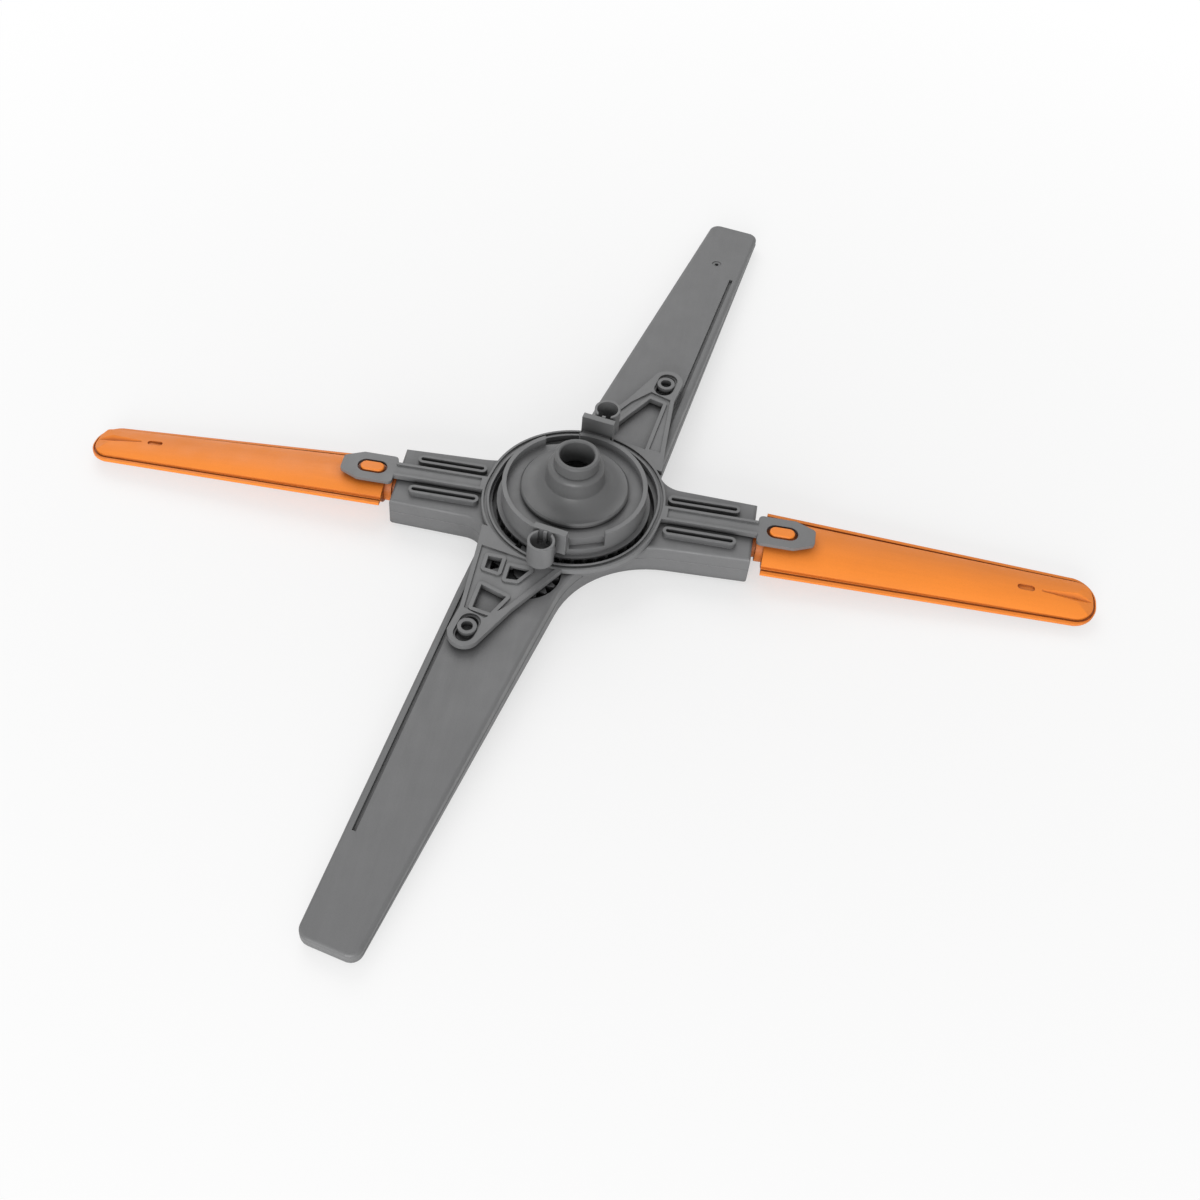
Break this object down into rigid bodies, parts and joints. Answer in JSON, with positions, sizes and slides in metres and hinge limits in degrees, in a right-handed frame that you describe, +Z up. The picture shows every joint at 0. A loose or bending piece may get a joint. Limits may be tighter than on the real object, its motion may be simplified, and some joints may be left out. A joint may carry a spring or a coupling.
{
  "type": "dishwasher spray arm",
  "caption": "Dishwasher spray arm shown underside up: grey pinwheel main arms, geared hub with inlet tube, sliding link frame and orange side arms that rock about their length.",
  "frame": {"origin": "on the hub's turning axis, in the plane of the nozzle side that the arm lies on", "axes": "+Z up along the hub axis towards the inlet tube, +X along the right-hand rocking arm"},
  "size_m": [0.5, 0.4974, 0.0522],
  "materials": {
    "grey_body": "satin moulded plastic",
    "grey_drive": "satin moulded plastic",
    "dark_cap": "satin moulded plastic",
    "white_acetal": "smooth moulded plastic",
    "orange_arm": "semi-gloss moulded plastic"
  },
  "bodies": {
    "body": {"arm_lower_shell": "grey_body", "arm_nozzle_shell": "grey_body", "centre_cap": "dark_cap", "inlet_hub": "grey_drive"},
    "flow_disc": {"flow_disc": "white_acetal"},
    "fixed_gear": {"fixed_gear": "grey_drive"},
    "crank_gear": {"crank_gear": "grey_drive"},
    "link": {"link_frame": "grey_drive"},
    "right_arm": {"right_blade_back": "orange_arm", "right_blade_front": "orange_arm"},
    "left_arm": {"left_blade_back": "orange_arm", "left_blade_front": "orange_arm"}
  },
  "joints": [
    {"name": "fixed_gear_turn", "type": "hinge", "parent": "body", "child": "fixed_gear", "pos_m": [0, 0, 0.0165], "axis": [0, 0, 1], "continuous": true},
    {"name": "crank_gear_turn", "type": "hinge", "parent": "body", "child": "crank_gear", "pos_m": [-0.01424, -0.04809, 0.0165], "axis": [0, 0, 1], "continuous": true},
    {"name": "link_slide", "type": "slide", "parent": "body", "child": "link", "axis": [0.1977, 0.9803, 0], "range_m": [-0.003, 0.003]},
    {"name": "right_arm_rock", "type": "hinge", "parent": "body", "child": "right_arm", "pos_m": [0.088, 0, 0.0098], "axis": [1, 0, 0], "range_deg": [-16, 16]},
    {"name": "left_arm_rock", "type": "hinge", "parent": "body", "child": "left_arm", "pos_m": [-0.088, 0, 0.0098], "axis": [1, 0, 0], "range_deg": [-16, 16]},
    {"name": "flow_disc_turn", "type": "hinge", "parent": "body", "child": "flow_disc", "pos_m": [0, 0, 0.0145], "axis": [0, 0, 1], "continuous": true}
  ],
  "couplings": [
    {"joint": "crank_gear_turn", "follows": "fixed_gear_turn", "ratio": -2.4706},
    {"joint": "right_arm_rock", "follows": "link_slide", "rad_per_m": -92.809},
    {"joint": "left_arm_rock", "follows": "link_slide", "rad_per_m": -92.809}
  ]
}
